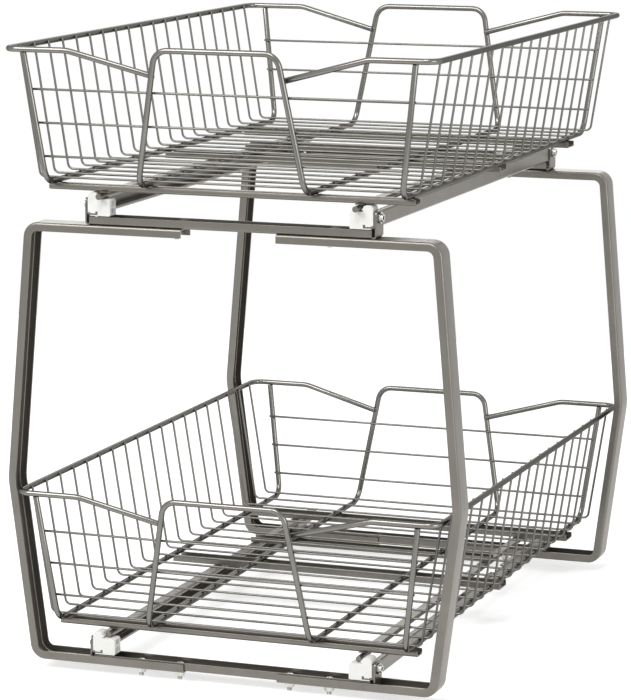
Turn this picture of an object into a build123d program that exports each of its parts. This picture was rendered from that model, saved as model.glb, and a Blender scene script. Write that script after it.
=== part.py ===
from build123d import *
from math import cos, radians, tan
import os

# Two tier sliding organizer for the cabinet under a sink.
# Four bent channel half frames and four cross bars carry two wire baskets,
# each of which slides forward on a pair of rails with nylon glide blocks.
# X is the width, Y runs from the front (low) to the rear (high), Z is up.
# The origin is at the middle of the footprint, at the tips of the bottom screws.
# Lengths are in millimetres.

# Shared clearances
weld_gap = 0.1
running_gap = 0.3
fit_gap = 0.1
cut_over = 1.0

# Screws and flange nuts, M4 by 10
screw_length = 10.0
screw_diameter = 4.0
screw_head_diameter = 8.0
screw_head_height = 3.4
screw_head_round = 1.2
screw_tip_chamfer = 0.5
screw_hole_diameter = 4.4
nut_flats = 7.0
nut_height = 4.5
nut_flange_diameter = 10.0
nut_flange_height = 1.1
nut_bore = 4.2

# Half frames, channels with the web outside
frame_sheet = 1.2
frame_width = 20.0
frame_flange = 6.7
frame_height = 341.85
arm_end_x = 38.0
top_corner_x = 166.6
knee_x = 183.6
knee_height = 140.9
bottom_corner_x = 165.3
frame_corner_radius = 12.0
frame_knee_radius = 45.0
frame_edge_radius = 2.0
front_frame_setback = 22.5
rear_frame_setback = 24.6

# Cross bars, channels that open upward, with a tab bent up at each end
bar_sheet = 1.2
bar_width = 17.0
bar_height = 6.4
bar_edge_radius = 2.0
bar_half_length = 116.3
bar_flange_setback = 3.5
bar_bend_radius = 2.4
tab_width = 15.6
tab_height = 20.5
tab_corner_radius = 3.0
inner_hole_x = 45.0
outer_hole_x = 77.0

# Fixed rails, riveted to the inner faces of the tabs
rail_sheet = 1.2
rail_bottom = 7.7
rail_height = 12.1
rail_lip = 4.5
rail_ledge = 9.2
rail_curl = 2.6
rail_bend_radius = 1.8
rail_inset = 1.0
rail_notch_start = 307.0
rail_notch_length = 27.0

# Hollow rivets that hold rails and glide blocks to the tabs
rivet_height = 15.0
rivet_shank_diameter = 5.0
rivet_bore = 3.0
rivet_head_diameter = 8.5
rivet_head_thickness = 1.4
rivet_collar_diameter = 6.2
rivet_stand_out = 3.0
rivet_tail_diameter = 6.4
rivet_tail_thickness = 1.2

# Nylon glide blocks at the front of the fixed rails
block_depth = 11.0
block_inner_x = 95.6
block_bottom = 7.0
block_lobe_top = 24.7
block_lobe_radius = 2.8
block_lobe_clearance = 1.2
block_shoulder_top = 19.9
block_shoulder_radius = 2.0
block_foot_radius = 1.0
block_hook_reach = 0.9
block_hook_bottom = 21.0
block_hook_height = 1.0
block_pocket_depth = 3.2
block_pocket_length = 5.5
block_pocket_setback = 3.0
block_pocket_height = 4.0
lower_pocket_bottom = 8.4
upper_pocket_bottom = 14.4

# Wire baskets, measured between rod centre lines, heights from the floor rods
rod = 4.5
wire = 1.8
basket_depth = 498.0
rim_half_width = 169.5
rim_height = 100.5
rim_corner_radius = 10.0
rim_kink_x = 118.9
rim_kink_radius = 25.0
rim_end_x = 49.0
rim_end_dip = 17.8
floor_bend_inset = 10.0
floor_bend_radius = 12.0
outer_rod_floor_x = 141.1
outer_rod_rim_x = 154.4
handle_foot_x = 66.15
handle_top_x = 48.1
handle_rise = 2.0
handle_corner_radius = 12.0
end_wire_count = 3
first_end_wire_height = 19.8
last_end_wire_drop = 12.2
end_wire_overhang = 2.0
side_wire_pitch = 25.4
side_wire_end_room = 20.0
side_wire_foot_x = 150.7
side_wire_bend_radius = 8.0
side_wire_tip = 0.9

# Members welded under the floor rods of a basket
front_cross_rod_y = 28.5
front_cross_rod_half_length = 146.0
stiffener_sheet = 1.0
stiffener_height = 4.5
middle_stiffener_offset = 3.0
middle_stiffener_width = 18.0
middle_stiffener_half_length = 143.0
rear_tie_setback = 162.0
rear_tie_width = 12.0
rear_tie_half_length = 107.2
rear_stiffener_setback = 63.0
rear_stiffener_width = 18.0
rear_stiffener_half_length = 146.0

# Moving rails under a basket, a bead hung from a flange, and their rear shoes
bead_diameter = 4.5
bead_x = 102.2
bead_height = 22.3
bead_front_y = 17.5
bead_rear_setback = 28.0
hanger_front_y = 27.5
hanger_height = 25.55
hanger_sheet = 1.2
hanger_flange_width = 7.0
shoe_length = 22.0
shoe_rear_setback = 2.0
shoe_grip_half_width = 3.2
shoe_grip_rise = 1.7
shoe_grip_drop = 4.9
shoe_edge_radius = 0.6

# The upper basket stands this far forward of the lower one in its rest place
upper_forward = 10.0

# Heights of the two tiers, above the tips of the bottom screws
lower_arm_z = screw_length - bar_sheet - frame_sheet
lower_base_z = lower_arm_z + frame_sheet
upper_base_z = lower_arm_z + frame_height
member_top_drop = rod / 2 + weld_gap
member_bottom_drop = member_top_drop + stiffener_height
floor_rise = hanger_height + weld_gap + member_bottom_drop

# Places along the depth, with the origin in the middle of the whole depth
lower_front_y = (upper_forward - basket_depth) / 2
upper_front_y = lower_front_y - upper_forward
front_frame_y = lower_front_y + front_frame_setback
rear_frame_y = lower_front_y + basket_depth - rear_frame_setback
moving_rail_length = basket_depth - bead_front_y - bead_rear_setback

# Heights and counts of the basket's rods and wires that follow from its size
handle_height = rim_height + handle_rise
rim_end_height = rim_height - rim_end_dip
end_wire_rise = rim_end_height - last_end_wire_drop - first_end_wire_height
end_wire_pitch = end_wire_rise / (end_wire_count - 1)
side_wire_gaps = int((basket_depth - 2 * side_wire_end_room) / side_wire_pitch)
first_side_wire_y = (basket_depth - side_wire_gaps * side_wire_pitch) / 2

# Places across the width that the rails and blocks share
tab_inner_x = bar_half_length - bar_sheet
rail_inner_x = tab_inner_x - rail_sheet
block_outer_x = rail_inner_x - fit_gap
notch_radius = bead_diameter / 2 + running_gap
lobe_inner_x = bead_x + notch_radius + block_lobe_clearance

os.makedirs("parts", exist_ok=True)


def parallel(points, distance):
    """Corner points of the line that runs beside an open polyline, on its left."""
    corners = [Vector(x, z) for x, z in points]
    runs = [(b - a).normalized() for a, b in zip(corners, corners[1:])]
    sides = [Vector(-run.Y, run.X) for run in runs]
    beside = [corners[0] + sides[0] * distance]
    for corner, before, after in zip(corners[1:], sides, sides[1:]):
        middle = (before + after).normalized()
        beside.append(corner + middle * (distance / middle.dot(after)))
    beside.append(corners[-1] + sides[-1] * distance)
    return [(point.X, point.Y) for point in beside]


def bent_strip(points, bends, near, far):
    """Section of a bent sheet between two lines that run beside a polyline.

    The bends are the radii of the polyline's own corners, which shrink
    toward the inside of each turn.
    """
    outer = parallel(points, near)
    inner = parallel(points, far)
    outer_bends = [bend - near for bend in bends]
    inner_bends = [bend - far for bend in reversed(bends)]
    radii = [0, *outer_bends, 0, 0, *inner_bends, 0]
    with BuildLine() as outline:
        FilletPolyline(*outer, *reversed(inner), radius=radii, close=True)
    make_face(outline.edges())


def open_channel(middle, bottom, width, height, sheet, edge_radius):
    """Section of a bent channel that opens upward, with rounded outer edges."""
    half = width / 2
    walls = [
        (middle - half, bottom + height),
        (middle - half, bottom),
        (middle + half, bottom),
        (middle + half, bottom + height),
    ]
    bent_strip(walls, [edge_radius, edge_radius], 0, sheet)


def section_plane(y):
    """Plane across the depth at y, with its own Y upward and its normal forward."""
    return Plane.XZ.offset(-y)


def lay_route(points, bends):
    """Straight runs through the points, joined by tangent arcs of the given radii."""
    start = Vector(*points[0])
    corners = [Vector(*point) for point in points]
    for before, corner, after, bend in zip(corners, corners[1:], corners[2:], bends):
        arrive = (corner - before).normalized()
        leave = (after - corner).normalized()
        half_turn = radians(arrive.get_angle(leave)) / 2
        inward = (leave - arrive).normalized()
        tangent = bend * tan(half_turn)
        first = corner - arrive * tangent
        last = corner + leave * tangent
        middle = corner + inward * (bend / cos(half_turn) - bend)
        Line(start, first)
        ThreePointArc(first, middle, last)
        start = last
    Line(start, corners[-1])


def bent_rod(points, bends, diameter):
    """A round rod swept along a route."""
    with BuildLine() as route:
        lay_route(points, bends)
    with BuildSketch(Plane(origin=route.line @ 0, z_dir=route.line % 0)) as section:
        Circle(diameter / 2)
    sweep(section.sketch, path=route.line)


def lean_y(height):
    """Y of the leaning front end of a basket at a height over its floor rods."""
    return floor_bend_inset * (1 - height / rim_height)


def across(share, start, end):
    """Value part of the way from start to end."""
    return start + (end - start) * share


# Half frames: top arm, upright with a knee, bottom arm
def build_half_frame(node, centre_y, is_left):
    outline = [
        (arm_end_x, centre_y, lower_arm_z),
        (bottom_corner_x, centre_y, lower_arm_z),
        (knee_x, centre_y, lower_arm_z + knee_height),
        (top_corner_x, centre_y, lower_arm_z + frame_height),
        (arm_end_x, centre_y, lower_arm_z + frame_height),
    ]
    bends = [frame_corner_radius, frame_knee_radius, frame_corner_radius]
    arm_middle_z = lower_arm_z + frame_height / 2
    with BuildPart() as half_frame:
        with BuildLine() as route:
            lay_route(outline, bends)
        with BuildSketch(Plane(origin=outline[0], x_dir=(0, 1, 0), z_dir=(1, 0, 0))):
            open_channel(0, 0, frame_width, frame_flange, frame_sheet, frame_edge_radius)
        sweep(path=route.line)
        with BuildSketch(Plane.XY.offset(arm_middle_z)):
            with Locations((inner_hole_x, centre_y), (outer_hole_x, centre_y)):
                Circle(screw_hole_diameter / 2)
        extrude(amount=frame_height, both=True, mode=Mode.SUBTRACT)
        if is_left:
            mirror(about=Plane.YZ, mode=Mode.REPLACE)
    half_frame.part.label = node
    export_step(half_frame.part, f"parts/{node}.step")


# Cross bars with rivet tabs
def build_cross_bar(node, centre_y, base_z):
    channel_end_x = bar_half_length - bar_flange_setback
    tab_outline = [
        (channel_end_x, base_z),
        (bar_half_length, base_z),
        (bar_half_length, base_z + tab_height),
    ]
    hole_rows = (-outer_hole_x, -inner_hole_x, inner_hole_x, outer_hole_x)
    with BuildPart() as cross_bar:
        with BuildSketch(section_plane(centre_y)):
            bent_strip(tab_outline, [bar_bend_radius], 0, bar_sheet)
        extrude(amount=tab_width / 2, both=True)
        fillet(
            cross_bar.edges().filter_by(Axis.X).group_by(Axis.Z)[-1],
            radius=tab_corner_radius,
        )
        mirror(about=Plane.YZ)
        with BuildSketch(Plane.YZ):
            open_channel(centre_y, base_z, bar_width, bar_height, bar_sheet, bar_edge_radius)
        extrude(amount=channel_end_x, both=True)
        with BuildSketch(Plane.XY.offset(base_z)):
            with Locations(*[(x, centre_y) for x in hole_rows]):
                Circle(screw_hole_diameter / 2)
        extrude(amount=bar_sheet, mode=Mode.SUBTRACT)
        with BuildSketch(Plane.YZ):
            with Locations((centre_y, base_z + rivet_height)):
                Circle(rivet_shank_diameter / 2 + fit_gap)
        extrude(amount=bar_half_length, both=True, mode=Mode.SUBTRACT)
    cross_bar.part.label = node
    export_step(cross_bar.part, f"parts/{node}.step")


# Fixed rails: ledge with an upturned edge below, short lip above
def build_fixed_rail(node, base_z, is_left):
    bottom_z = base_z + rail_bottom
    top_z = bottom_z + rail_height
    front_y = front_frame_y - bar_width / 2 + rail_inset
    rear_y = rear_frame_y + bar_width / 2 - rail_inset
    section = [
        (tab_inner_x - rail_ledge, bottom_z + rail_curl),
        (tab_inner_x - rail_ledge, bottom_z),
        (tab_inner_x, bottom_z),
        (tab_inner_x, top_z),
        (tab_inner_x - rail_lip, top_z),
    ]
    block_room = block_depth - rail_inset + running_gap
    lip_x = rail_inner_x - rail_lip / 2
    lip_depth = rail_sheet + rail_bend_radius
    with BuildPart() as fixed_rail:
        with BuildSketch(section_plane(rear_y)):
            bent_strip(section, [rail_bend_radius] * 3, 0, rail_sheet)
        extrude(amount=rear_y - front_y)
        with BuildSketch(Plane.XY.offset(top_z)):
            with Locations((lip_x, front_y + (block_room - cut_over) / 2)):
                Rectangle(rail_lip, block_room + cut_over)
            with Locations((lip_x, front_y + rail_notch_start + rail_notch_length / 2)):
                Rectangle(rail_lip, rail_notch_length)
        extrude(amount=-lip_depth, mode=Mode.SUBTRACT)
        with BuildSketch(Plane.YZ.offset(tab_inner_x)):
            for rivet_y in (front_frame_y, rear_frame_y):
                with Locations((rivet_y, base_z + rivet_height)):
                    Circle(rivet_shank_diameter / 2 + fit_gap)
        extrude(amount=-rail_sheet, mode=Mode.SUBTRACT)
        if is_left:
            mirror(about=Plane.YZ, mode=Mode.REPLACE)
    fixed_rail.part.label = node
    export_step(fixed_rail.part, f"parts/{node}.step")


# Glide blocks: notched for the bead of the moving rail, slotted for the ledge
def build_glide_block(node, base_z, is_left):
    front_y = front_frame_y - bar_width / 2
    bottom_z = base_z + block_bottom
    lobe_z = base_z + block_lobe_top
    shoulder_z = base_z + block_shoulder_top
    ledge_x = tab_inner_x - rail_ledge
    ledge_z = base_z + rail_bottom
    pocket_front = front_y + block_pocket_setback
    with BuildPart() as glide_block:
        with BuildSketch(section_plane(front_y)) as outline:
            with BuildLine():
                FilletPolyline(
                    (block_inner_x, bottom_z),
                    (block_outer_x, bottom_z),
                    (block_outer_x, lobe_z),
                    (lobe_inner_x, lobe_z),
                    (lobe_inner_x, shoulder_z),
                    (block_inner_x, shoulder_z),
                    radius=[
                        block_foot_radius,
                        block_foot_radius,
                        block_lobe_radius,
                        block_lobe_radius,
                        0,
                        block_shoulder_radius,
                    ],
                    close=True,
                )
            make_face()
            with Locations((bead_x, base_z + bead_height)):
                Circle(notch_radius, mode=Mode.SUBTRACT)
            with Locations((lobe_inner_x, base_z + block_hook_bottom)):
                Rectangle(
                    2 * block_hook_reach,
                    block_hook_height,
                    align=(Align.CENTER, Align.MIN),
                )
            with Locations((ledge_x - fit_gap, ledge_z - fit_gap)):
                Rectangle(
                    rail_ledge + cut_over,
                    rail_sheet + 2 * fit_gap,
                    align=(Align.MIN, Align.MIN),
                    mode=Mode.SUBTRACT,
                )
                Rectangle(
                    rail_bend_radius + 2 * fit_gap,
                    rail_curl + 2 * fit_gap,
                    align=(Align.MIN, Align.MIN),
                    mode=Mode.SUBTRACT,
                )
            with Locations((rail_inner_x, ledge_z)):
                Rectangle(
                    2 * rail_bend_radius,
                    2 * (rail_bend_radius + fit_gap),
                    mode=Mode.SUBTRACT,
                )
        extrude(amount=-block_depth)
        with BuildSketch(Plane.YZ.offset(block_inner_x)):
            for pocket_bottom in (lower_pocket_bottom, upper_pocket_bottom):
                with Locations((pocket_front, base_z + pocket_bottom)):
                    Rectangle(
                        block_pocket_length,
                        block_pocket_height,
                        align=(Align.MIN, Align.MIN),
                    )
        extrude(amount=block_pocket_depth, mode=Mode.SUBTRACT)
        with BuildSketch(Plane.YZ.offset(block_outer_x)):
            with Locations((front_frame_y, base_z + rivet_height)):
                Circle(rivet_tail_diameter / 2 + fit_gap)
        extrude(amount=-rivet_tail_thickness, mode=Mode.SUBTRACT)
        if is_left:
            mirror(about=Plane.YZ, mode=Mode.REPLACE)
    glide_block.part.label = node
    export_step(glide_block.part, f"parts/{node}.step")


# Rivets, turned about their own axes, four on each tier
def build_rivets(node):
    bore = rivet_bore / 2
    tail_x = rail_inner_x - rivet_tail_thickness
    head_x = bar_half_length + rivet_head_thickness
    end_x = bar_half_length + rivet_stand_out
    with BuildPart() as rivets:
        for base_z in (lower_base_z, upper_base_z):
            for rivet_y in (front_frame_y, rear_frame_y):
                axis_z = base_z + rivet_height
                with BuildSketch(section_plane(rivet_y)):
                    with BuildLine():
                        Polyline(
                            (tail_x, axis_z + bore),
                            (tail_x, axis_z + rivet_tail_diameter / 2),
                            (rail_inner_x, axis_z + rivet_tail_diameter / 2),
                            (rail_inner_x, axis_z + rivet_shank_diameter / 2),
                            (bar_half_length, axis_z + rivet_shank_diameter / 2),
                            (bar_half_length, axis_z + rivet_head_diameter / 2),
                            (head_x, axis_z + rivet_head_diameter / 2),
                            (head_x, axis_z + rivet_collar_diameter / 2),
                            (end_x, axis_z + rivet_collar_diameter / 2),
                            (end_x, axis_z + bore),
                            close=True,
                        )
                    make_face()
                revolve(axis=Axis((0, rivet_y, axis_z), (1, 0, 0)))
        mirror(about=Plane.YZ)
    rivets.part.label = node
    export_step(rivets.part, f"parts/{node}.step")


# Pan head screws, heads up, and the flange nuts below the arms
def screw_section(seat_z):
    tip_z = seat_z - screw_length
    head_z = seat_z + screw_head_height
    radius = screw_diameter / 2
    head_radius = screw_head_diameter / 2
    with BuildLine() as section:
        Polyline(
            (0, tip_z),
            (radius - screw_tip_chamfer, tip_z),
            (radius, tip_z + screw_tip_chamfer),
            (radius, seat_z),
            (head_radius, seat_z),
            (head_radius, head_z - screw_head_round),
            (head_radius - screw_head_round, head_z),
            (0, head_z),
            close=True,
        )
    make_face(section.edges())


def build_screws(node, seat_z, places):
    with BuildPart() as screws:
        for x, y in places:
            with BuildSketch(Plane(origin=(x, y, 0), x_dir=(1, 0, 0), z_dir=(0, -1, 0))):
                screw_section(seat_z)
            revolve(axis=Axis((x, y, 0), (0, 0, 1)))
    screws.part.label = node
    export_step(screws.part, f"parts/{node}.step")


def build_nuts(node, seat_z, places):
    with BuildPart() as nuts:
        with BuildSketch(Plane.XY.offset(seat_z)):
            with Locations(*places):
                Circle(nut_flange_diameter / 2)
        extrude(amount=-nut_flange_height)
        with BuildSketch(Plane.XY.offset(seat_z)):
            with Locations(*places):
                RegularPolygon(nut_flats / 2, side_count=6, major_radius=False)
        extrude(amount=-nut_height)
        with BuildSketch(Plane.XY.offset(seat_z)):
            with Locations(*places):
                Circle(nut_bore / 2)
        extrude(amount=-nut_height, mode=Mode.SUBTRACT)
    nuts.part.label = node
    export_step(nuts.part, f"parts/{node}.step")


# Basket rims: one bent rod a side, whose ends dip behind the handle legs
def build_rim(node, front_y, floor_z, is_left):
    leg_share = rim_end_height / handle_height
    leg_x = across(leg_share, handle_foot_x, handle_top_x)
    reach_share = (rim_kink_x - leg_x) / (rim_kink_x - rim_end_x)
    end_y = (lean_y(rim_end_height) + rod + weld_gap) / reach_share
    rear_y = basket_depth
    route = [
        (rim_end_x, end_y, rim_end_height),
        (rim_kink_x, 0, rim_height),
        (rim_half_width, 0, rim_height),
        (rim_half_width, rear_y, rim_height),
        (rim_kink_x, rear_y, rim_height),
        (rim_end_x, rear_y - end_y, rim_end_height),
    ]
    placed = [(x, front_y + y, floor_z + z) for x, y, z in route]
    bends = [rim_kink_radius, rim_corner_radius, rim_corner_radius, rim_kink_radius]
    with BuildPart() as rim:
        bent_rod(placed, bends, rod)
        if is_left:
            mirror(about=Plane.YZ, mode=Mode.REPLACE)
    rim.part.label = node
    export_step(rim.part, f"parts/{node}.step")


# Handle loop: two floor rods that rise at both ends into a handle bar
def build_handle_loop(node, front_y, floor_z):
    top_y = lean_y(handle_height)
    route = [
        (0, top_y, handle_height),
        (handle_top_x, top_y, handle_height),
        (handle_foot_x, floor_bend_inset, 0),
        (handle_foot_x, basket_depth - floor_bend_inset, 0),
        (handle_top_x, basket_depth - top_y, handle_height),
        (0, basket_depth - top_y, handle_height),
    ]
    placed = [(x, front_y + y, floor_z + z) for x, y, z in route]
    bends = [handle_corner_radius, floor_bend_radius, floor_bend_radius, handle_corner_radius]
    with BuildPart() as handle_loop:
        bent_rod(placed, bends, rod)
        mirror(about=Plane.YZ)
    handle_loop.part.label = node
    export_step(handle_loop.part, f"parts/{node}.step")


# Outer floor rods, bent up at both ends to meet the rim from below
def build_outer_rod(node, front_y, floor_z, is_left):
    rim_underside = rim_height - rod / 2 - weld_gap
    route = [
        (outer_rod_rim_x, 0, rim_height),
        (outer_rod_floor_x, floor_bend_inset, 0),
        (outer_rod_floor_x, basket_depth - floor_bend_inset, 0),
        (outer_rod_rim_x, basket_depth, rim_height),
    ]
    placed = [(x, front_y + y, floor_z + z) for x, y, z in route]
    with BuildPart() as outer_rod:
        bent_rod(placed, [floor_bend_radius, floor_bend_radius], rod)
        split(bisect_by=Plane.XY.offset(floor_z + rim_underside), keep=Keep.BOTTOM)
        if is_left:
            mirror(about=Plane.YZ, mode=Mode.REPLACE)
    outer_rod.part.label = node
    export_step(outer_rod.part, f"parts/{node}.step")


# Thin wires that run under the basket's contents and up both sides
def build_side_wires(node, front_y, floor_z):
    floor_wire_z = rod / 2 + wire / 2 + weld_gap
    rim_wire_x = rim_half_width - rod / 2 - wire / 2 - weld_gap
    tip_share = (rim_height + side_wire_tip - floor_wire_z) / (rim_height - floor_wire_z)
    tip_x = across(tip_share, side_wire_foot_x, rim_wire_x)
    tip_z = floor_z + rim_height + side_wire_tip
    with BuildPart() as side_wires:
        for number in range(side_wire_gaps + 1):
            wire_y = front_y + first_side_wire_y + number * side_wire_pitch
            route = [
                (-tip_x, wire_y, tip_z),
                (-side_wire_foot_x, wire_y, floor_z + floor_wire_z),
                (side_wire_foot_x, wire_y, floor_z + floor_wire_z),
                (tip_x, wire_y, tip_z),
            ]
            bent_rod(route, [side_wire_bend_radius, side_wire_bend_radius], wire)
    side_wires.part.label = node
    export_step(side_wires.part, f"parts/{node}.step")


# Thin wires across the front and rear ends, behind the legs and outer rods
def build_end_wires(node, front_y, floor_z, is_rear):
    with BuildPart() as end_wires:
        for number in range(end_wire_count):
            height = first_end_wire_height + number * end_wire_pitch
            outer_rod_x = across(height / rim_height, outer_rod_floor_x, outer_rod_rim_x)
            half_length = outer_rod_x + end_wire_overhang
            inset = lean_y(height) + rod / 2 + wire / 2 + weld_gap
            wire_y = front_y + (basket_depth - inset if is_rear else inset)
            with BuildSketch(Plane.YZ):
                with Locations((wire_y, floor_z + height)):
                    Circle(wire / 2)
            extrude(amount=half_length, both=True)
    end_wires.part.label = node
    export_step(end_wires.part, f"parts/{node}.step")


# Round cross rod under the front of the floor
def build_cross_rod(node, front_y, floor_z):
    with BuildPart() as cross_rod:
        with BuildSketch(Plane.YZ):
            with Locations((front_y + front_cross_rod_y, floor_z - rod - weld_gap)):
                Circle(rod / 2)
        extrude(amount=front_cross_rod_half_length, both=True)
    cross_rod.part.label = node
    export_step(cross_rod.part, f"parts/{node}.step")


# Stiffeners, shallow channels that open upward under the floor rods
def build_stiffener(node, centre_y, floor_z, width, half_length):
    top_z = floor_z - member_top_drop
    bottom_z = floor_z - member_bottom_drop
    half = width / 2
    with BuildPart() as stiffener:
        with BuildSketch(Plane.YZ):
            with BuildLine():
                Polyline(
                    (centre_y - half, top_z),
                    (centre_y - half, bottom_z),
                    (centre_y + half, bottom_z),
                    (centre_y + half, top_z),
                    (centre_y + half - stiffener_sheet, top_z),
                    (centre_y + half - stiffener_sheet, bottom_z + stiffener_sheet),
                    (centre_y - half + stiffener_sheet, bottom_z + stiffener_sheet),
                    (centre_y - half + stiffener_sheet, top_z),
                    close=True,
                )
            make_face()
        extrude(amount=half_length, both=True)
    stiffener.part.label = node
    export_step(stiffener.part, f"parts/{node}.step")


# Moving rails: a bead that runs in the notch, hung from a flange by a web
def build_moving_rail(node, front_y, base_z, is_left):
    rear_y = front_y + bead_front_y + moving_rail_length
    hanger_z = base_z + hanger_height
    web_height = hanger_height - bead_height
    with BuildPart() as moving_rail:
        with BuildSketch(section_plane(rear_y)):
            with Locations((bead_x, base_z + bead_height)):
                Circle(bead_diameter / 2)
        extrude(amount=moving_rail_length)
        with BuildSketch(section_plane(rear_y)):
            with Locations((bead_x, hanger_z)):
                Rectangle(hanger_sheet, web_height, align=(Align.CENTER, Align.MAX))
                Rectangle(
                    hanger_flange_width,
                    hanger_sheet,
                    align=(Align.CENTER, Align.MAX),
                )
        extrude(amount=moving_rail_length + bead_front_y - hanger_front_y)
        if is_left:
            mirror(about=Plane.YZ, mode=Mode.REPLACE)
    moving_rail.part.label = node
    export_step(moving_rail.part, f"parts/{node}.step")


# Rear shoes: gripped on the bead, with a tongue under the lip of the fixed rail
def build_rear_shoe(node, front_y, base_z, is_left):
    rear_y = front_y + bead_front_y + moving_rail_length - shoe_rear_setback
    bead_z = base_z + bead_height
    tongue_outer = rail_inner_x - running_gap
    tongue_inner = tab_inner_x - rail_ledge + rail_sheet + running_gap
    tongue_top = base_z + rail_bottom + rail_height - rail_sheet - running_gap
    tongue_bottom = base_z + rail_bottom + rail_sheet + running_gap
    neck_outer = tab_inner_x - rail_lip - running_gap
    grip_inner = bead_x - shoe_grip_half_width
    grip_top = bead_z + shoe_grip_rise
    grip_bottom = bead_z - shoe_grip_drop
    with BuildPart() as rear_shoe:
        with BuildSketch(section_plane(rear_y)):
            with BuildLine():
                FilletPolyline(
                    (grip_inner, grip_bottom),
                    (tongue_inner, grip_bottom),
                    (tongue_inner, tongue_bottom),
                    (tongue_outer, tongue_bottom),
                    (tongue_outer, tongue_top),
                    (neck_outer, tongue_top),
                    (neck_outer, grip_top),
                    (grip_inner, grip_top),
                    radius=shoe_edge_radius,
                    close=True,
                )
            make_face()
            with Locations((bead_x, bead_z)):
                Circle(bead_diameter / 2 + fit_gap, mode=Mode.SUBTRACT)
                Rectangle(
                    hanger_sheet + 2 * fit_gap,
                    shoe_grip_rise + cut_over,
                    align=(Align.CENTER, Align.MIN),
                    mode=Mode.SUBTRACT,
                )
        extrude(amount=shoe_length)
        if is_left:
            mirror(about=Plane.YZ, mode=Mode.REPLACE)
    rear_shoe.part.label = node
    export_step(rear_shoe.part, f"parts/{node}.step")


def build_basket(tier, front_y, base_z):
    """All the pieces that slide together on one tier."""
    floor_z = base_z + floor_rise
    for side, is_left in (("left", True), ("right", False)):
        build_rim(f"{tier}_rim_{side}", front_y, floor_z, is_left)
        build_outer_rod(f"{tier}_outer_rod_{side}", front_y, floor_z, is_left)
        build_moving_rail(f"{tier}_moving_rail_{side}", front_y, base_z, is_left)
        build_rear_shoe(f"{tier}_rear_shoe_{side}", front_y, base_z, is_left)
    build_handle_loop(f"{tier}_handle_loop", front_y, floor_z)
    build_side_wires(f"{tier}_side_wires", front_y, floor_z)
    build_end_wires(f"{tier}_front_wires", front_y, floor_z, False)
    build_end_wires(f"{tier}_rear_wires", front_y, floor_z, True)
    build_cross_rod(f"{tier}_front_cross_rod", front_y, floor_z)
    build_stiffener(
        f"{tier}_middle_stiffener",
        front_y + basket_depth / 2 + middle_stiffener_offset,
        floor_z,
        middle_stiffener_width,
        middle_stiffener_half_length,
    )
    build_stiffener(
        f"{tier}_rear_tie",
        front_y + basket_depth - rear_tie_setback,
        floor_z,
        rear_tie_width,
        rear_tie_half_length,
    )
    build_stiffener(
        f"{tier}_rear_stiffener",
        front_y + basket_depth - rear_stiffener_setback,
        floor_z,
        rear_stiffener_width,
        rear_stiffener_half_length,
    )


for side, is_left in (("left", True), ("right", False)):
    build_half_frame(f"front_half_frame_{side}", front_frame_y, is_left)
    build_half_frame(f"rear_half_frame_{side}", rear_frame_y, is_left)
    for tier, base_z in (("lower", lower_base_z), ("upper", upper_base_z)):
        build_fixed_rail(f"{tier}_fixed_rail_{side}", base_z, is_left)
        build_glide_block(f"{tier}_glide_block_{side}", base_z, is_left)

for tier, base_z in (("lower", lower_base_z), ("upper", upper_base_z)):
    build_cross_bar(f"{tier}_front_cross_bar", front_frame_y, base_z)
    build_cross_bar(f"{tier}_rear_cross_bar", rear_frame_y, base_z)

build_rivets("rail_rivets")

bottom_places = [
    (x, y)
    for y in (front_frame_y, rear_frame_y)
    for x in (-outer_hole_x, -inner_hole_x, inner_hole_x, outer_hole_x)
]
top_places = [(x, y) for y in (front_frame_y, rear_frame_y) for x in (-inner_hole_x, outer_hole_x)]
build_screws("bottom_bar_screws", lower_base_z + bar_sheet, bottom_places)
build_nuts("bottom_bar_nuts", lower_arm_z, bottom_places)
build_screws("top_bar_screws", upper_base_z + bar_sheet, top_places)
build_nuts("top_bar_nuts", upper_base_z - frame_sheet, top_places)

build_basket("lower", lower_front_y, lower_base_z)
build_basket("upper", upper_front_y, upper_base_z)
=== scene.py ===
import math

import bmesh
import bpy
from bpy.props import FloatProperty, FloatVectorProperty, IntProperty, PointerProperty
from mathutils import Matrix, Vector


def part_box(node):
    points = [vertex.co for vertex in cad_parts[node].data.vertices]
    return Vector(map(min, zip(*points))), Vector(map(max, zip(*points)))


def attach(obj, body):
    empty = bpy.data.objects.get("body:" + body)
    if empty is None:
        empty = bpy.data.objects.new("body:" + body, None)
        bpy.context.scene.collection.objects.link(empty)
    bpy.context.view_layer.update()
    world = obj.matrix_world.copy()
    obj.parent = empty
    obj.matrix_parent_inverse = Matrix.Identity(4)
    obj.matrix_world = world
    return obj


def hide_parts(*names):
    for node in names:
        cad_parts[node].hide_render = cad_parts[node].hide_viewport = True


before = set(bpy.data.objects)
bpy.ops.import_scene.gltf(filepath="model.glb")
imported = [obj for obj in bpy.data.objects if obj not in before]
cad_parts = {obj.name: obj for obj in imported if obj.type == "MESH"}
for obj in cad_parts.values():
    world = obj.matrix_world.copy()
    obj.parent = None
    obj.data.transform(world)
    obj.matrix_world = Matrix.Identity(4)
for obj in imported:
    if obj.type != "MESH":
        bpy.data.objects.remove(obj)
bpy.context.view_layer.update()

bl_info = {
    "name": "Two Tier Sliding Organizer",
    "version": (1, 0, 0),
    "blender": (4, 5, 0),
    "location": "View3D > Sidebar > Organizer",
    "description": "Wire baskets that slide on rails between bent channel frames",
    "category": "Object",
}

MM = 0.001
TIERS = ("lower", "upper")
ENDS = ("front", "rear")
SIDES = (("left", -1), ("right", 1))


# Sizes and colours

def length(name, description, millimetres):
    return FloatProperty(
        name=name, description=description, default=millimetres * MM, unit="LENGTH"
    )


def colour(name, description, value):
    return FloatVectorProperty(
        name=name, description=description, default=value, subtype="COLOR", min=0, max=1
    )


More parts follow.
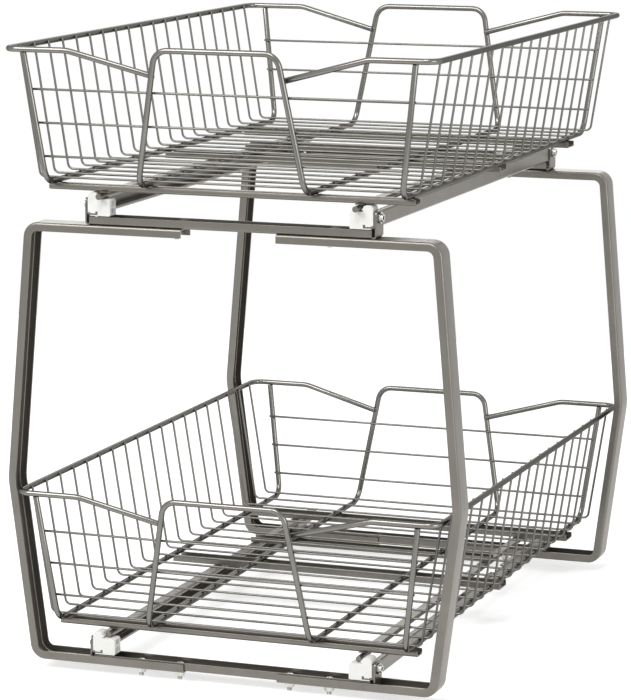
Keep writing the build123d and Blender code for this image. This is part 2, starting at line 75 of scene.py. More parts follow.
class WireSizes(bpy.types.PropertyGroup):
    rod: length("Rod", "Diameter of the thick rods", 4.5)
    wire: length("Wire", "Diameter of the thin wires", 1.8)
    depth: length("Depth", "Rim depth between rod centre lines", 498)
    rim_half_width: length("Rim half width", "Centre line of the side rims", 169.5)
    rim_height: length("Rim height", "Rim above the floor rods", 100.5)
    rim_corner: length("Rim corner", "Bend radius at the rim's corners", 10)
    kink_x: length("Rim kink", "Where the rims start to dip", 118.9)
    kink_bend: length("Kink bend", "Bend radius where the rims dip", 25)
    rim_end_x: length("Rim end", "Where the dipped ends of the rims stop", 51.6)
    rim_end_height: length("Rim end height", "Height of the dipped ends", 82.7)
    bend_inset: length("Bend inset", "Floor bends behind the rim line", 10)
    floor_bend: length("Floor bend", "Bend radius of the floor rods", 12)
    outer_floor_x: length("Outer rod, floor", "Outer floor rods from the middle", 141.1)
    outer_rim_x: length("Outer rod, rim", "Outer rods where they meet the rim", 154.4)
    foot_x: length("Handle foot", "Inner floor rods from the middle", 66.15)
    top_x: length("Handle top", "Handle legs at the bar", 48.1)
    handle_height: length("Handle height", "Handle bar above the floor rods", 102.5)
    handle_corner: length("Handle corner", "Bend radius beside the bar", 12)
    end_pitch: length("End wire pitch", "Spacing of the end wires", 25.35)
    end_first: length("First end wire", "Lowest end wire above the floor rods", 19.8)
    end_over: length("End wire overhang", "End wires past the outer rods", 2)
    side_pitch: length("Side wire pitch", "Spacing of the side wires", 25.4)
    side_first: length("First side wire", "First side wire behind the rim line", 20.4)
    side_foot_x: length("Side wire foot", "Side wires at the floor", 150.7)
    side_bend: length("Side wire bend", "Bend radius of the side wires", 4.5)
    side_tip: length("Side wire tip", "Side wires above the rim line", 0.9)
    channel_y: length("Front channel", "Front channel's face behind the rim line", 25)
    channel_half: length("Front channel half length", "Half length of the channel", 146)
    channel_width: length("Front channel width", "Width of the channel", 12)
    channel_height: length("Front channel height", "Height of the channel", 4.5)
    channel_sheet: length("Front channel sheet", "Sheet of the channel", 1)
    channel_bend: length("Front channel bend", "Bend radius at the sheet's middle", 1.3)
    weld_gap: length("Weld gap", "Room left for the weld", 0.1)
    end_count: IntProperty(name="End wires", description="Wires across each end", default=3)
    side_count: IntProperty(name="Side wires", description="Wires along the depth", default=19)


class FastenerSizes(bpy.types.PropertyGroup):
    screw: length("Screw", "Thread diameter", 4)
    screw_length: length("Screw length", "From under the head to the tip", 10)
    pitch: length("Pitch", "Thread pitch", 0.7)
    thread_depth: length("Thread depth", "Depth of the thread", 0.3)
    head: length("Head", "Head diameter", 8)
    head_height: length("Head height", "Height of the pan head", 3.4)
    recess: length("Recess", "Width across the cross recess", 4.2)
    recess_depth: length("Recess depth", "Depth of the cross recess", 1.4)
    nut_flats: length("Nut flats", "Nut across the flats", 7)
    nut_height: length("Nut height", "Height of the nut", 4.5)
    nut_flange: length("Nut flange", "Flange diameter", 10)
    flange_height: length("Flange height", "Thickness of the flange", 1.1)
    inner_x: length("Inner hole", "Inner holes from the middle", 45)
    outer_x: length("Outer hole", "Outer holes from the middle", 77)
    edge_round: length("Edge rounding", "Rounding of sheet and nylon edges", 0.3)


class Finishes(bpy.types.PropertyGroup):
    pewter: colour("Pewter", "Satin coat on the sheet pieces", (0.165, 0.152, 0.133))
    wire_tone: colour("Wire tone", "Satin coat on rods and wires", (0.205, 0.198, 0.183))
    zinc: colour("Zinc", "Plated screws, nuts and rivets", (0.62, 0.61, 0.58))
    nylon: colour("Nylon", "White glide blocks and shoes", (0.83, 0.83, 0.81))
    floor: colour("Floor", "Plain pale floor", (0.8, 0.8, 0.8))


class StageSettings(bpy.types.PropertyGroup):
    azimuth: FloatProperty(name="Azimuth", description="Camera to the right of the front",
                           default=math.radians(20.342), subtype="ANGLE")
    elevation: FloatProperty(name="Elevation", description="Camera above level",
                             default=math.radians(9.971), subtype="ANGLE")
    camera_x: length("Camera X", "Camera to the right", 896.9)
    camera_y: length("Camera Y", "Camera in front", -2462.75)
    camera_z: length("Camera Z", "Camera above the floor", 683.4)
    lens: FloatProperty(name="Lens", description="Focal length in millimetres", default=186.6)


# Mesh helpers

ARC_STEP = math.radians(9)
LEAST_ARC_STEPS = 3
ROD_SIDES = 20
WIRE_SIDES = 12

# Share of a bar's radius that its eased end takes, which is less where it meets a rim
END_ROUNDING = 0.3
WELDED_END_ROUNDING = 0.12

# Steps over an eased end, in shares of the ease: along the bar, and off its radius
END_STEPS = ((0, 1), (0.3, 0.3), (1, 0))

# Edges sharper than this, in degrees, are shown sharp
SHARP_DEGREES = 32
CHANNEL_SHARP_DEGREES = 50
BEAD_SHARP_DEGREES = 60
FASTENER_SHARP_DEGREES = 35

# Edges of the CAD pieces sharper than this, in degrees, are eased
EASED_DEGREES = 40
MERGE_DISTANCE = 0.002 * MM
FLAT_ANGLE = math.radians(1)

# Top of the front channel's walls, in shares of the sheet
WALL_TOP_EASE = 0.4
WALL_TOP_THIN = 0.55


def part_way(share, start, end):
    """The value a share of the way from start to end."""
    return start + (end - start) * share


def mirrored(points):
    """Points of the right side, put on the left."""
    return [(-x, y, z) for x, y, z in points]


def both_ends(points, depth):
    """Points of the front half, then their mirror image at the rear."""
    return points + [(x, depth - y, z) for x, y, z in reversed(points)]


def shifted(points, front_y, floor_z):
    """Points of a basket, put at its rim line and floor rods."""
    return [(x, y + front_y, z + floor_z) for x, y, z in points]


def circle(sides):
    """Cosine and sine of even steps around a circle."""
    angles = [2 * math.pi * k / sides for k in range(sides)]
    return [(math.cos(angle), math.sin(angle)) for angle in angles]


def skin(shape, rings):
    """Faces between each ring of vertices and the next."""
    for one, two in zip(rings, rings[1:]):
        for k in range(len(one)):
            n = (k + 1) % len(one)
            shape.faces.new((one[k], one[n], two[n], two[k]))


def close_ends(shape, rings):
    """Faces over the first and the last ring."""
    shape.faces.new(list(reversed(rings[0])))
    shape.faces.new(rings[-1])


def rounded(points, bends):
    """Points along straight runs joined by tangent arcs."""
    corners = [Vector(point) for point in points]
    route = [corners[0]]
    for before, corner, after, bend in zip(corners, corners[1:], corners[2:], bends):
        arrive = (corner - before).normalized()
        leave = (after - corner).normalized()
        turn = arrive.angle(leave)
        inward = (leave - arrive).normalized()
        centre = corner + inward * (bend / math.cos(turn / 2))
        start = corner - arrive * (bend * math.tan(turn / 2)) - centre
        axis = arrive.cross(leave)
        steps = max(LEAST_ARC_STEPS, math.ceil(turn / ARC_STEP))
        for step in range(steps + 1):
            route.append(centre + Matrix.Rotation(turn * step / steps, 3, axis) @ start)
    route.append(corners[-1])
    return route


def tube_sections(route, before, after):
    """Each point of a route with its direction and a direction across it."""
    across = None
    sections = []
    for point, behind, ahead in zip(route, before, after):
        tangent = (ahead - behind).normalized()
        if across is None:
            across = tangent.orthogonal().normalized()
        across = (across - tangent * across.dot(tangent)).normalized()
        sections.append((point, tangent, across))
    return sections


def add_ring(shape, section, radius, sides):
    """A ring of vertices around a section."""
    point, tangent, across = section
    up = tangent.cross(across)
    return [shape.verts.new(point + (across * c + up * s) * radius) for c, s in circle(sides)]


def eased_end(section, way, radius, ease):
    """Sections and radii from the face of a bar's end to its full radius."""
    point, tangent, across = section
    return [((point + tangent * (way * ease) * along, tangent, across), radius - ease * off)
            for along, off in END_STEPS]


def add_tube(shape, route, radius, sides, rounding=END_ROUNDING):
    """A round bar along a route, with eased ends."""
    sections = tube_sections(route, route[:1] + route, route[1:] + route[-1:])
    ease = radius * rounding
    head = eased_end(sections[0], 1, radius, ease)
    middle = [(section, radius) for section in sections[1:-1]]
    tail = eased_end(sections[-1], -1, radius, ease)[::-1]
    rings = [add_ring(shape, section, size, sides) for section, size in head + middle + tail]
    skin(shape, rings)
    close_ends(shape, rings)


def add_closed_tube(shape, route, radius, sides):
    """A round bar along a closed route."""
    sections = tube_sections(route, route[-1:] + route, route[1:] + route[:1])
    rings = [add_ring(shape, section, radius, sides) for section in sections]
    first, last = rings[0], rings[-1]
    shift = min(range(sides), key=lambda k: (last[k].co - first[0].co).length)
    rings.append([first[(k - shift) % sides] for k in range(sides)])
    skin(shape, rings)


def add_bead(shape, centre, radius, proportions, subdivisions=1):
    """A small flattened weld bead."""
    size = [radius * part for part in proportions]
    place = Matrix.Translation(centre) @ Matrix.Diagonal((*size, 1))
    bmesh.ops.create_icosphere(shape, subdivisions=subdivisions, radius=1, matrix=place)


def add_channel(shape, half_length, width, height, sheet, bend):
    """A shallow channel along X that opens upward, with rounded bends and wall tops."""
    wall = width / 2 - sheet / 2
    corners = [(0, -wall, height), (0, -wall, sheet / 2), (0, wall, sheet / 2), (0, wall, height)]
    middle = rounded(corners, (bend, bend))
    ease = Vector((0, 0, sheet * WALL_TOP_EASE))
    middle.insert(1, middle[0] - ease)
    middle.insert(-1, middle[-1] - ease)
    last = len(middle) - 1
    outline = []
    for side in (1, -1):
        line = []
        for place, point in enumerate(middle):
            along = (middle[min(place + 1, last)] - middle[max(place - 1, 0)]).normalized()
            thin = WALL_TOP_THIN if place in (0, last) else 1
            line.append(point + Vector((0, along.z, -along.y)) * (side * thin * sheet / 2))
        outline.append(line)
    loop = outline[0] + outline[1][::-1]
    ends = []
    for x in (-half_length, half_length):
        ends.append([shape.verts.new(point + Vector((x, 0, 0))) for point in loop])
    skin(shape, ends)
    total = len(loop)
    for ring in ends:
        for k in range(last):
            shape.faces.new((ring[k], ring[k + 1], ring[total - 2 - k], ring[total - 1 - k]))


def new_piece(name, shape, body, slot, nodes=(), look=None, sharp_degrees=SHARP_DEGREES):
    """Turns a bmesh into a smooth shaded piece that rides on a body."""
    bmesh.ops.recalc_face_normals(shape, faces=shape.faces)
    mesh = bpy.data.meshes.new(name)
    shape.to_mesh(mesh)
    shape.free()
    mesh.shade_smooth()
    mesh.set_sharp_from_angle(angle=math.radians(sharp_degrees))
    mesh.materials.append(finish(look or slot))
    piece = bpy.data.objects.new(name, mesh)
    bpy.context.scene.collection.objects.link(piece)
    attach(piece, body)
    if nodes:
        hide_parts(*nodes)
    return piece


def dressed_copy(node, body, slot, segments=2):
    """A CAD piece with its edges eased, in place of the sharp solid."""
    shape = bmesh.new()
    shape.from_mesh(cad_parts[node].data)
    bmesh.ops.remove_doubles(shape, verts=shape.verts, dist=MERGE_DISTANCE)
    bmesh.ops.dissolve_limit(
        shape, angle_limit=FLAT_ANGLE, verts=shape.verts, edges=shape.edges
    )
    piece = new_piece(node + "_dressed", shape, body, slot, (node,), sharp_degrees=EASED_DEGREES)
    bevel = piece.modifiers.new("Eased edges", "BEVEL")
    bevel.width = bpy.context.scene.organizer_fasteners.edge_round
    bevel.segments = segments
    bevel.limit_method = "ANGLE"
    bevel.angle_limit = math.radians(EASED_DEGREES)
    bevel.harden_normals = True


# Materials

# Band of a noise's values that is spread over a colour or a roughness
WIDE_BAND = (0.3, 0.7)
NARROW_BAND = (0.35, 0.65)

# How dark the mottled places are, as a share of the tone; for the thin wires the share is a
# painted shade over their whole tone
PEWTER_SHADE = 0.82
ZINC_SHADE = 0.8
NYLON_SHADE = (0.97, 0.965, 0.94)
# Painted shade: the thin wires take the wire coat darkened to this share, so they show darker than
# the thick rods of the same coat
THIN_WIRE_PAINTED_SHADE = 0.9

# Roughness in the smooth and the rough places, depth of the grain and gloss of the coat
SATIN_LOOKS = {
    "pewter_sheet": {"roughness": (0.32, 0.42), "relief": 0.1, "edge_tint": (0.6, 0.58, 0.54),
                     "coat": 0.9, "coat_roughness": 0.32},
    "pewter_wire": {"roughness": (0.18, 0.25), "relief": 0.03, "edge_tint": (0.3, 0.3, 0.3),
                    "coat": 0.15, "coat_roughness": 0.2},
    # The thin wires' look, whose tone is darkened as painted shade
    "thin_wire_painted_shade": {"roughness": (0.32, 0.4), "relief": 0.03, "edge_tint": (0.3, 0.3, 0.3),
                  "coat": 0, "coat_roughness": 0},
}
ZINC_ROUGHNESS = (0.2, 0.36)
NYLON_ROUGHNESS = (0.38, 0.5)


class Recipe:
    """A node material with a principled shader and short helpers."""

    def __init__(self, name):
        self.material = bpy.data.materials.new(name)
        self.material.use_nodes = True
        self.tree = self.material.node_tree
        self.shader = self.tree.nodes["Principled BSDF"]
        self.place = self.tree.nodes.new("ShaderNodeTexCoord")

    def set(self, socket, value):
        self.shader.inputs[socket].default_value = value

    def noise(self, scale, detail, roughness):
        node = self.tree.nodes.new("ShaderNodeTexNoise")
        node.inputs["Scale"].default_value = scale
        node.inputs["Detail"].default_value = detail
        node.inputs["Roughness"].default_value = roughness
        self.tree.links.new(self.place.outputs["Object"], node.inputs["Vector"])
        return node.outputs["Fac"]

    def spread(self, source, band, start, end):
        node = self.tree.nodes.new("ShaderNodeMapRange")
        node.inputs["From Min"].default_value = band[0]
        node.inputs["From Max"].default_value = band[1]
        node.inputs["To Min"].default_value = start
        node.inputs["To Max"].default_value = end
        self.tree.links.new(source, node.inputs["Value"])
        return node.outputs["Result"]

    def colour(self, source, band, shade, tone):
        node = self.tree.nodes.new("ShaderNodeMix")
        node.data_type = "RGBA"
        node.inputs["A"].default_value = (*shade, 1)
        node.inputs["B"].default_value = (*tone, 1)
        self.tree.links.new(self.spread(source, band, 0, 1), node.inputs["Factor"])
        self.tree.links.new(node.outputs["Result"], self.shader.inputs["Base Color"])

    def roughness(self, source, start, end):
        spread = self.spread(source, WIDE_BAND, start, end)
        self.tree.links.new(spread, self.shader.inputs["Roughness"])

    def bump(self, height, strength, distance):
        node = self.tree.nodes.new("ShaderNodeBump")
        node.inputs["Strength"].default_value = strength
        node.inputs["Distance"].default_value = distance
        self.tree.links.new(height, node.inputs["Height"])
        self.tree.links.new(node.outputs["Normal"], self.shader.inputs["Normal"])


def shaded(tone, share):
    """A tone darkened to a share of itself."""
    return tuple(part * share for part in tone)


def satin_pewter(name, tone, roughness, relief, edge_tint, coat, coat_roughness):
    """Satin metallic coat: faint mottling, fine grain, uneven gloss."""
    smooth, rough = roughness
    recipe = Recipe(name)
    mottle = recipe.noise(scale=35, detail=4, roughness=0.6)
    grain = recipe.noise(scale=1400, detail=2, roughness=0.6)
    recipe.colour(mottle, WIDE_BAND, shaded(tone, PEWTER_SHADE), tone)
    recipe.roughness(mottle, rough, smooth)
    recipe.bump(grain, strength=relief, distance=0.05 * MM)
    recipe.set("Metallic", 1.0)
    recipe.set("Specular Tint", (*edge_tint, 1))
    recipe.set("Coat Weight", coat)
    recipe.set("Coat Roughness", coat_roughness)
    return recipe.material


def plated_zinc(name, tone):
    """Bright plated steel with a slight haze."""
    recipe = Recipe(name)
    haze = recipe.noise(scale=500, detail=3, roughness=0.6)
    grain = recipe.noise(scale=2500, detail=2, roughness=0.5)
    recipe.colour(haze, NARROW_BAND, shaded(tone, ZINC_SHADE), tone)
    recipe.roughness(haze, *ZINC_ROUGHNESS)
    recipe.bump(grain, strength=0.08, distance=0.02 * MM)
    recipe.set("Metallic", 1.0)
    return recipe.material


def white_nylon(name, tone):
    """Moulded nylon, slightly translucent, with a fine matte grain."""
    recipe = Recipe(name)
    cloud = recipe.noise(scale=150, detail=3, roughness=0.5)
    grain = recipe.noise(scale=3000, detail=2, roughness=0.5)
    warm = tuple(part * share for part, share in zip(tone, NYLON_SHADE))
    recipe.colour(cloud, WIDE_BAND, warm, tone)
    recipe.roughness(cloud, *NYLON_ROUGHNESS)
    recipe.bump(grain, strength=0.1, distance=0.02 * MM)
    recipe.set("Subsurface Weight", 0.15)
    recipe.set("Subsurface Radius", (0.002, 0.002, 0.0018))
    recipe.set("Subsurface Scale", 1.0)
    return recipe.material


def finish(look):
    """The material of a slot, or of the thin wires with their painted shade, made once."""
    name = look + "_finish"
    if name in bpy.data.materials:
        return bpy.data.materials[name]
    tones = bpy.context.scene.organizer_finishes
    if look == "zinc_steel":
        return plated_zinc(name, tuple(tones.zinc))
    if look == "nylon":
        return white_nylon(name, tuple(tones.nylon))
    tone = tuple(tones.pewter if look == "pewter_sheet" else tones.wire_tone)
    # Painted shade: the thin wires get a darker copy of the wire tone
    if look == "thin_wire_painted_shade":
        tone = shaded(tone, THIN_WIRE_PAINTED_SHADE)
    return satin_pewter(name, tone, **SATIN_LOOKS[look])


# Places shared by the basket pieces

def basket_place(tier):
    """Front rim line and floor rod line of a basket, read from the CAD pieces."""
    sizes = bpy.context.scene.organizer_wires
    low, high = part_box(tier + "_outer_rod_right")
    front_y = (low[1] + high[1]) / 2 - sizes.depth / 2
    return front_y, low[2] + sizes.rod / 2


def body_of(tier):
    """The body that a tier's basket belongs to."""
    return tier + "_basket"


def lean(sizes, height):
    """How far a basket's end stands behind the rim line at a height."""
    return sizes.bend_inset * (1 - height / sizes.rim_height)


def outer_rod_x(sizes, height):
    """The outer rods' distance from the middle at a height."""
    return part_way(height / sizes.rim_height, sizes.outer_floor_x, sizes.outer_rim_x)


def handle_leg_x(sizes, height):
    """The handle legs' distance from the middle at a height."""
    return part_way(height / sizes.handle_height, sizes.foot_x, sizes.top_x)


# Operators for the stand

class MakeHalfFrames(bpy.types.Operator):
    """Dress the bent channel half frames"""
    bl_idname = "organizer.half_frames"
    bl_label = "Half Frames"

    def execute(self, context):
        for end in ENDS:
            for side, _ in SIDES:
                dressed_copy(f"{end}_half_frame_{side}", "frame", "pewter_sheet")
        return {"FINISHED"}


class MakeCrossBars(bpy.types.Operator):
    """Dress the cross bars with their rivet tabs"""
    bl_idname = "organizer.cross_bars"
    bl_label = "Cross Bars"

    def execute(self, context):
        for tier in TIERS:
            for end in ENDS:
                dressed_copy(f"{tier}_{end}_cross_bar", "frame", "pewter_sheet")
        return {"FINISHED"}


class MakeFixedRails(bpy.types.Operator):
    """Dress the fixed rails"""
    bl_idname = "organizer.fixed_rails"
    bl_label = "Fixed Rails"

    def execute(self, context):
        for tier in TIERS:
            for side, _ in SIDES:
                dressed_copy(f"{tier}_fixed_rail_{side}", "frame", "pewter_sheet")
        return {"FINISHED"}


class MakeGlideBlocks(bpy.types.Operator):
    """Dress the nylon glide blocks"""
    bl_idname = "organizer.glide_blocks"
    bl_label = "Glide Blocks"

    def execute(self, context):
        for tier in TIERS:
            for side, _ in SIDES:
                dressed_copy(f"{tier}_glide_block_{side}", "frame", "nylon", segments=3)
        return {"FINISHED"}


class MakeRivets(bpy.types.Operator):
    """Dress the hollow rivets"""
    bl_idname = "organizer.rivets"
    bl_label = "Rivets"

    def execute(self, context):
        dressed_copy("rail_rivets", "frame", "zinc_steel")
        return {"FINISHED"}


# Screws and nuts

# Each bar with the number of fasteners in a row
BARS = (("bottom_bar", 4), ("top_bar", 2))

# Turn of each fastener about its axis, in degrees
FIRST_TURN = 23
TURN_STEP = 51

# Pan head: its seat in shares of the head, then the dome
HEAD_SIDES = 32
SEAT_WIDTH = 0.94
SEAT_EASE = 0.08
DOME_FOOT = 0.3
DOME_FULLNESS = 0.55
DOME_DEGREES = range(0, 86, 10)

# Cross recess: width of an arm in shares of the recess, and width at the bottom
RECESS_ARM = 0.2
RECESS_TAPER = 0.45

# Thread: where the tip starts, how fast it narrows and how narrow it may get
THREAD_SIDES = 20
THREAD_ROWS = 70
TIP_START = 0.94
TIP_SLOPE = 0.8
TIP_LEAST = 0.5

# Flange nut: shares of the flange's radius and thickness over its rounded rim
NUT_SIDES = 48
FLANGE_RIM = ((0.97, 0), (1, 0.3), (0.96, 0.7))

# Hexagon: its corners and end face in shares of half the flats, and of the nut's height
HEXAGON_CORNER = 1.13
HEXAGON_TOP = 0.9
FACE_WIDTH = 0.99

# Bore of the nut in shares of the thread's radius, with a countersunk mouth
BORE_CLEARANCE = 1.03
BORE_MOUTH = 1.15
BORE_MOUTH_START = 0.92


def lathe(shape, profile, sides):
    """Turns a profile of radius and height pairs about the Z axis."""
    rings = []
    for radius, height in profile:
        rings.append([shape.verts.new((radius * c, radius * s, height)) for c, s in circle(sides)])
    skin(shape, rings)
    close_ends(shape, rings)


def loose_object(name, shape):
    """A linked object made from a bmesh, for a boolean cut."""
    mesh = bpy.data.meshes.new(name)
    shape.to_mesh(mesh)
    shape.free()
    thing = bpy.data.objects.new(name, mesh)
    bpy.context.scene.collection.objects.link(thing)
    return thing


def head_blank(f):
    """The pan head without its recess, its seat at zero."""
    shape = bmesh.new()
    radius, height = f.head / 2, f.head_height
    dome = []
    for degrees in DOME_DEGREES:
        angle = math.radians(degrees)
        dome.append((radius * math.cos(angle) ** DOME_FULLNESS,
                     height * part_way(math.sin(angle), DOME_FOOT, 1)))
    seat = [(radius * SEAT_WIDTH, 0), (radius, height * SEAT_EASE)]
    lathe(shape, seat + dome, HEAD_SIDES)
    bmesh.ops.recalc_face_normals(shape, faces=shape.faces)
    return loose_object("screw_head_blank", shape)


def recess_cutter(f, degrees):
    """One arm of the cross recess, narrower at the bottom."""
    shape = bmesh.new()
    bmesh.ops.create_cube(shape, size=1, matrix=(
        Matrix.Translation((0, 0, f.head_height))
        @ Matrix.Rotation(math.radians(degrees), 4, "Z")
        @ Matrix.Diagonal((f.recess, f.recess * RECESS_ARM, 2 * f.recess_depth, 1))))
    for vert in shape.verts:
        if vert.co.z < f.head_height:
            vert.co.x *= RECESS_TAPER
            vert.co.y *= RECESS_TAPER
    return loose_object("recess", shape)


def screw_mesh(f):
    """One pan head screw, seat of the head at zero, with thread and recess."""
    blank = head_blank(f)
    cutters = [recess_cutter(f, degrees) for degrees in (0, 90)]
    for cutter in cutters:
        cut = blank.modifiers.new("Recess", "BOOLEAN")
        cut.object = cutter
        cut.operation = "DIFFERENCE"
        cut.solver = "EXACT"
    bpy.context.view_layer.update()
    head = bpy.data.meshes.new_from_object(
        blank.evaluated_get(bpy.context.evaluated_depsgraph_get())
    )
    for thing in (blank, *cutters):
        bpy.data.objects.remove(thing)
    shape = bmesh.new()
    shape.from_mesh(head)
    radius = f.screw / 2
    rings = []
    for row in range(THREAD_ROWS + 1):
        share = row / THREAD_ROWS
        z = -share * f.screw_length
        limit = radius - max(0, share - TIP_START) * f.screw_length * TIP_SLOPE
        ring = []
        for k, (c, s) in enumerate(circle(THREAD_SIDES)):
            phase = (z / f.pitch + k / THREAD_SIDES) % 1
            cut = f.thread_depth * abs(2 * phase - 1)
            size = max(limit - cut, radius * TIP_LEAST)
            ring.append(shape.verts.new((size * c, size * s, z)))
        rings.append(ring)
    skin(shape, rings)
    shape.faces.new(rings[0])
    shape.faces.new(list(reversed(rings[-1])))
    return shape


def hexagon_radius(angle, half_flats):
    """Distance from the axis to a hexagon with blunt corners."""
    lobe = (angle + math.pi / 6) % (math.pi / 3) - math.pi / 6
    return min(half_flats / math.cos(lobe), half_flats * HEXAGON_CORNER)


def nut_mesh(f):
    """One flange nut, its seat at zero and its body below."""
    shape = bmesh.new()
    bore = f.screw / 2 * BORE_CLEARANCE
    flange = f.nut_flange / 2
    half_flats = f.nut_flats / 2
    rim = [(flange * wide, f.flange_height * high) for wide, high in FLANGE_RIM]
    # A radius of None follows the hexagon
    hexagon = [(None, f.flange_height), (None, f.nut_height * HEXAGON_TOP)]
    face = [(half_flats * FACE_WIDTH, f.nut_height), (bore * BORE_MOUTH, f.nut_height)]
    profile = [(bore, 0), *rim, *hexagon, *face, (bore, f.nut_height * BORE_MOUTH_START)]
    rings = []
    for radius, height in profile:
        ring = []
        for k, (c, s) in enumerate(circle(NUT_SIDES)):
            size = radius or hexagon_radius(2 * math.pi * k / NUT_SIDES, half_flats)
            ring.append(shape.verts.new((size * c, size * s, -height)))
        rings.append(ring)
    skin(shape, [*rings, rings[0]])
    return shape


def repeated(shape, places):
    """Copies a small shape to each place, turned a little further each time."""
    template = bpy.data.meshes.new("template")
    shape.to_mesh(template)
    shape.free()
    whole = bmesh.new()
    for number, place in enumerate(places):
        turn = math.radians(FIRST_TURN + TURN_STEP * number)
        part = template.copy()
        part.transform(Matrix.Translation(place) @ Matrix.Rotation(turn, 4, "Z"))
        whole.from_mesh(part)
        bpy.data.meshes.remove(part)
    bpy.data.meshes.remove(template)
    return whole


def fastener_places(node, count, z):
    """Places of the fasteners of a node, read from its box."""
    f = bpy.context.scene.organizer_fasteners
    low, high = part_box(node)
    xs = (-f.inner_x, f.outer_x) if count == 2 else (-f.outer_x, -f.inner_x, f.inner_x, f.outer_x)
    half_width = ((high[0] - low[0]) - (xs[-1] - xs[0])) / 2
    ys = (low[1] + half_width, high[1] - half_width)
    return [Vector((x, y, z)) for y in ys for x in xs]


class MakeScrews(bpy.types.Operator):
    """Cut the pan head screws with their threads and cross recesses"""
    bl_idname = "organizer.screws"
    bl_label = "Screws"

    def execute(self, context):
        f = context.scene.organizer_fasteners
        for bar, count in BARS:
            node = bar + "_screws"
            low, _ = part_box(node)
            places = fastener_places(node, count, low[2] + f.screw_length)
            new_piece(node + "_threaded", repeated(screw_mesh(f), places), "frame",
                      "zinc_steel", (node,), sharp_degrees=FASTENER_SHARP_DEGREES)
        return {"FINISHED"}


class MakeNuts(bpy.types.Operator):
    """Form the flange nuts under the arms"""
    bl_idname = "organizer.nuts"
    bl_label = "Flange Nuts"

    def execute(self, context):
        f = context.scene.organizer_fasteners
        for bar, count in BARS:
            node = bar + "_nuts"
            _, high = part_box(node)
            places = fastener_places(node, count, high[2])
            new_piece(node + "_flanged", repeated(nut_mesh(f), places), "frame",
                      "zinc_steel", (node,), sharp_degrees=FASTENER_SHARP_DEGREES)
        return {"FINISHED"}


# Operators for the baskets

# Weld beads across, along and up, in shares of the wire's radius
FLOOR_BEAD = (1.1, 1.2, 0.5)
SIDE_RIM_BEAD = (0.5, 1.2, 1.3)
END_WIRE_BEAD = (1.5, 0.55, 1.2)
RIM_END_BEAD = (2.2, 0.9, 2.0)


def make_side_rods(kind, half, bends, rounding=END_ROUNDING):
    """Bends the left and right rods of a kind from the route of the right one."""
    w = bpy.context.scene.organizer_wires
    for tier in TIERS:
        for side, sign in SIDES:
            points = half if sign > 0 else mirrored(half)
            shape = bmesh.new()
            route = rounded(shifted(points, *basket_place(tier)), bends)
            add_tube(shape, route, w.rod / 2, ROD_SIDES, rounding)
            name = f"{tier}_{kind}_{side}"
            new_piece(name + "_rod", shape, body_of(tier), "pewter_wire", (name,))


class MakeRims(bpy.types.Operator):
    """Bend the rim rods, whose ends dip behind the handle legs"""
    bl_idname = "organizer.rims"
    bl_label = "Rims"

    def execute(self, context):
        w = context.scene.organizer_wires
        leg_x = handle_leg_x(w, w.rim_end_height)
        reach = (w.kink_x - leg_x) / (w.kink_x - w.rim_end_x)
        end_y = (lean(w, w.rim_end_height) + w.rod + w.weld_gap) / reach
        half = both_ends([
            (w.rim_end_x, end_y, w.rim_end_height),
            (w.kink_x, 0, w.rim_height),
            (w.rim_half_width, 0, w.rim_height),
        ], w.depth)
        make_side_rods("rim", half, (w.kink_bend, w.rim_corner, w.rim_corner, w.kink_bend))
        return {"FINISHED"}


class MakeHandleLoops(bpy.types.Operator):
    """Bend the handle loops, which run under the floor and rise at both ends"""
    bl_idname = "organizer.handle_loops"
    bl_label = "Handle Loops"

    def execute(self, context):
        w = context.scene.organizer_wires
        top_y = lean(w, w.handle_height)
        half = both_ends([
            (0, top_y, w.handle_height),
            (w.top_x, top_y, w.handle_height),
            (w.foot_x, w.bend_inset, 0),
        ], w.depth)
        bends = (w.handle_corner, w.floor_bend, w.floor_bend, w.handle_corner)
        for tier in TIERS:
            place = basket_place(tier)
            right = rounded(shifted(half, *place), bends)
            left = rounded(shifted(mirrored(half), *place), bends)
            shape = bmesh.new()
            add_closed_tube(shape, right + left[::-1][1:-1], w.rod / 2, ROD_SIDES)
            name = tier + "_handle_loop"
            new_piece(name + "_rod", shape, body_of(tier), "pewter_wire", (name,))
        return {"FINISHED"}


class MakeOuterRods(bpy.types.Operator):
    """Bend the outer floor rods, which rise to the rim at both ends"""
    bl_idname = "organizer.outer_rods"
    bl_label = "Outer Rods"

    def execute(self, context):
        w = context.scene.organizer_wires
        under_rim = w.rim_height - w.rod / 2 - w.weld_gap
        half = both_ends([
            (outer_rod_x(w, under_rim), lean(w, under_rim), under_rim),
            (w.outer_floor_x, w.bend_inset, 0),
        ], w.depth)
        make_side_rods("outer_rod", half, (w.floor_bend,) * 2, WELDED_END_ROUNDING)
        return {"FINISHED"}


class MakeSideWires(bpy.types.Operator):
    """Bend the thin wires that cross the floor and rise to the side rims"""
    bl_idname = "organizer.side_wires"
    bl_label = "Side Wires"

    def execute(self, context):
        w = context.scene.organizer_wires
        floor_z = (w.rod + w.wire) / 2 + w.weld_gap
        rim_x = w.rim_half_width - (w.rod + w.wire) / 2 - w.weld_gap
        tip_z = w.rim_height + w.side_tip
        tip_x = part_way((tip_z - floor_z) / (w.rim_height - floor_z), w.side_foot_x, rim_x)
        for tier in TIERS:
            place = basket_place(tier)
            shape = bmesh.new()
            for number in range(w.side_count):
                y = w.side_first + number * w.side_pitch
                points = [(-tip_x, y, tip_z), (-w.side_foot_x, y, floor_z),
                          (w.side_foot_x, y, floor_z), (tip_x, y, tip_z)]
                route = rounded(shifted(points, *place), (w.side_bend,) * 2)
                add_tube(shape, route, w.wire / 2, WIRE_SIDES)
            name = tier + "_side_wires"
            # The side wires take the wire coat with a painted shade
            new_piece(name + "_bent", shape, body_of(tier), "pewter_wire", (name,), "thin_wire_painted_shade")
        return {"FINISHED"}


